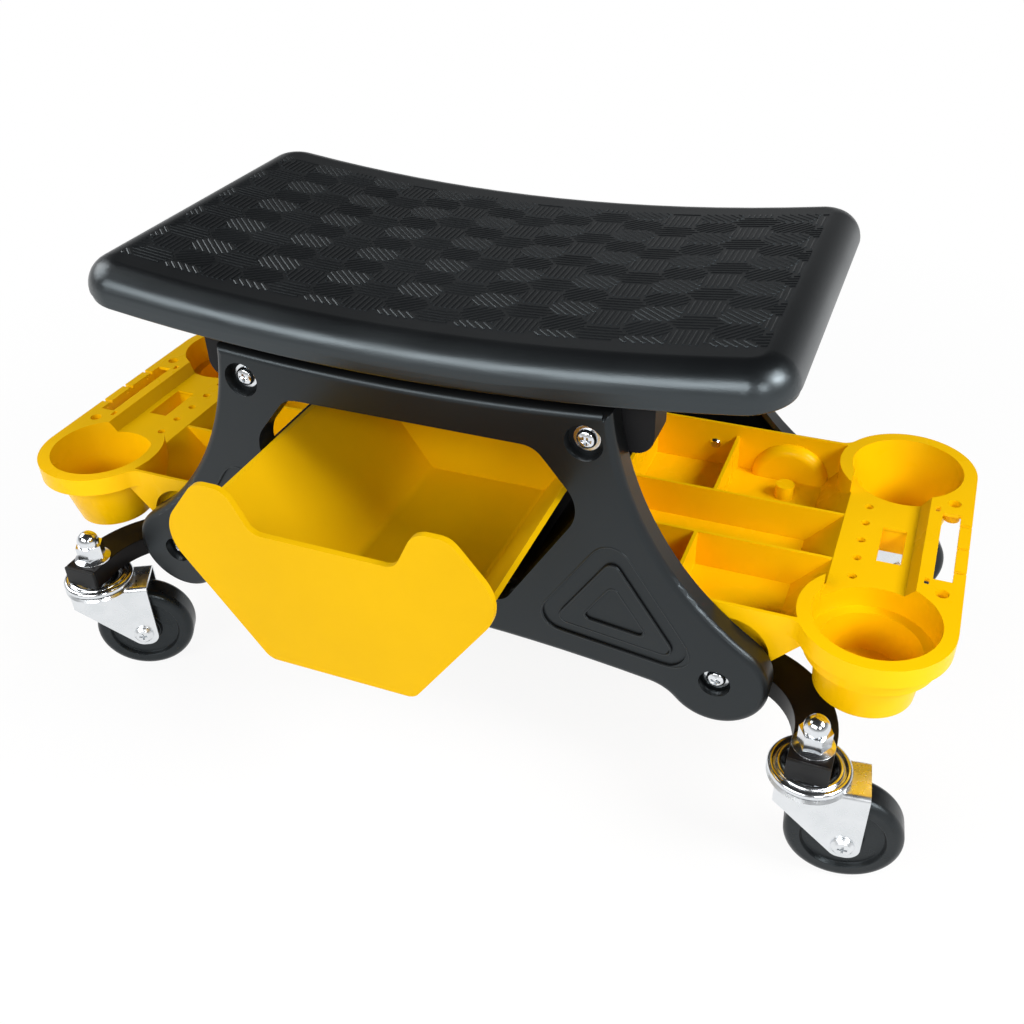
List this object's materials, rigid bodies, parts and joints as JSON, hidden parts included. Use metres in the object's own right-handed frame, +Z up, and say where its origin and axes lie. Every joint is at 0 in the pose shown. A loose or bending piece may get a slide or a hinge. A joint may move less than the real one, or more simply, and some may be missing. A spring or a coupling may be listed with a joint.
{
  "type": "rolling mechanic seat",
  "caption": "Low rolling work seat with a saddle-curved top, two end tool trays with cup holders, a sliding bin drawer and swivel casters.",
  "frame": {"origin": "floor point below the middle of the seat, midway between the four caster axes", "axes": "+X along the seat, -Y the drawer side, +Z up"},
  "size_m": [0.691, 0.416, 0.3468],
  "materials": {
    "black_plastic": "satin moulded plastic",
    "rail_plastic": "plain moulded plastic",
    "yellow_plastic": "moulded plastic, low gloss",
    "zinc": "bright zinc plate",
    "black_paint": "black powder coat",
    "wheel": "hard black wheel moulding"
  },
  "bodies": {
    "frame": {"seat_top": "black_plastic", "seat_base": "black_plastic", "seat_rail_front": "rail_plastic", "seat_rail_rear": "rail_plastic", "seat_screws": "zinc", "side_panel_front": "black_plastic", "side_panel_rear": "black_plastic", "upper_bolts": "zinc", "upper_washers": "zinc", "lower_bolts": "zinc", "lower_washers": "zinc", "chassis_tube_front": "black_paint", "chassis_tube_rear": "black_paint", "tube_plugs": "black_plastic", "cross_tube_left": "black_paint", "cross_tube_right": "black_paint", "cross_tube_inserts": "zinc", "leg_hubs": "black_plastic", "caster_stems": "zinc", "race_caps": "zinc", "dome_nuts": "zinc", "drawer_runner_left": "rail_plastic", "drawer_runner_right": "rail_plastic", "drawer_guide_left": "rail_plastic", "drawer_guide_right": "rail_plastic", "tray_right": "yellow_plastic", "tray_left": "yellow_plastic", "tray_screws": "zinc"},
    "drawer": {"drawer": "yellow_plastic"},
    "caster_front_right": {"fork_front_right": "zinc", "axle_bolt_front_right": "zinc", "axle_nut_front_right": "zinc", "wheel_bush_front_right": "zinc"},
    "rolling_wheel_front_right": {"wheel_front_right": "wheel"},
    "caster_front_left": {"fork_front_left": "zinc", "axle_bolt_front_left": "zinc", "axle_nut_front_left": "zinc", "wheel_bush_front_left": "zinc"},
    "rolling_wheel_front_left": {"wheel_front_left": "wheel"},
    "caster_rear_right": {"fork_rear_right": "zinc", "axle_bolt_rear_right": "zinc", "axle_nut_rear_right": "zinc", "wheel_bush_rear_right": "zinc"},
    "rolling_wheel_rear_right": {"wheel_rear_right": "wheel"},
    "caster_rear_left": {"fork_rear_left": "zinc", "axle_bolt_rear_left": "zinc", "axle_nut_rear_left": "zinc", "wheel_bush_rear_left": "zinc"},
    "rolling_wheel_rear_left": {"wheel_rear_left": "wheel"}
  },
  "joints": [
    {"name": "drawer_slide", "type": "slide", "parent": "frame", "child": "drawer", "axis": [0, -1, 0], "range_m": [-0.104, 0.075]},
    {"name": "swivel_front_right", "type": "hinge", "parent": "frame", "child": "caster_front_right", "pos_m": [0.2765, -0.148, 0.083], "axis": [0, 0, 1], "continuous": true},
    {"name": "spin_front_right", "type": "hinge", "parent": "caster_front_right", "child": "rolling_wheel_front_right", "pos_m": [0.3033, -0.14476, 0.0375], "axis": [-0.1201, 0.9928, 0], "continuous": true},
    {"name": "swivel_front_left", "type": "hinge", "parent": "frame", "child": "caster_front_left", "pos_m": [-0.2765, -0.148, 0.083], "axis": [0, 0, 1], "continuous": true},
    {"name": "spin_front_left", "type": "hinge", "parent": "caster_front_left", "child": "rolling_wheel_front_left", "pos_m": [-0.25268, -0.13528, 0.0375], "axis": [-0.471, 0.8821, 0], "continuous": true},
    {"name": "swivel_rear_right", "type": "hinge", "parent": "frame", "child": "caster_rear_right", "pos_m": [0.2765, 0.148, 0.083], "axis": [0, 0, 1], "continuous": true},
    {"name": "spin_rear_right", "type": "hinge", "parent": "caster_rear_right", "child": "rolling_wheel_rear_right", "pos_m": [0.30232, 0.15589, 0.0375], "axis": [-0.2924, 0.9563, 0], "continuous": true},
    {"name": "swivel_rear_left", "type": "hinge", "parent": "frame", "child": "caster_rear_left", "pos_m": [-0.2765, 0.148, 0.083], "axis": [0, 0, 1], "continuous": true},
    {"name": "spin_rear_left", "type": "hinge", "parent": "caster_rear_left", "child": "rolling_wheel_rear_left", "pos_m": [-0.25009, 0.14239, 0.0375], "axis": [0.2079, 0.9781, 0], "continuous": true}
  ]
}
